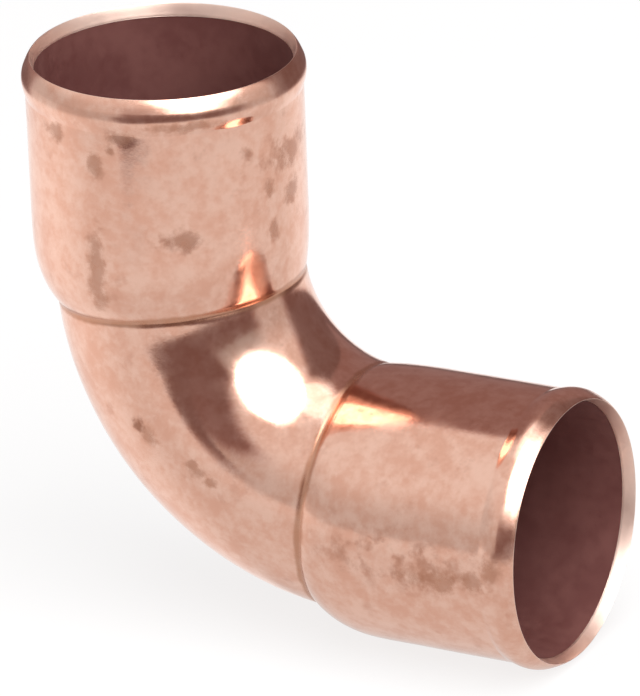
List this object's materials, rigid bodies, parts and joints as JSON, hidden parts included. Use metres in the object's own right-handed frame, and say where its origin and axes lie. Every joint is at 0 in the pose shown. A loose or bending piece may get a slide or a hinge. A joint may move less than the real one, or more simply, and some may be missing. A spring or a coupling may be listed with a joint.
{
  "type": "pipe elbow",
  "caption": "Short-radius 90 degree copper pipe elbow with an expanded solder socket, a formed tube stop and a rounded mouth lip at each end.",
  "frame": {"origin": "the point where the centrelines of the two sockets cross", "axes": "+Z along the upper socket towards its mouth, +X along the side socket towards its mouth, the elbow is the same on both sides of Y = 0"},
  "size_m": [0.0507, 0.0246, 0.0507],
  "materials": {
    "copper": "bright formed copper, lightly mottled and tarnished, with small handling dents; darker oxide inside"
  },
  "bodies": {
    "root": {"upper_rim": "copper", "upper_socket": "copper", "upper_shoulder": "copper", "bend": "copper", "side_shoulder": "copper", "side_socket": "copper", "side_rim": "copper"}
  },
  "joints": []
}
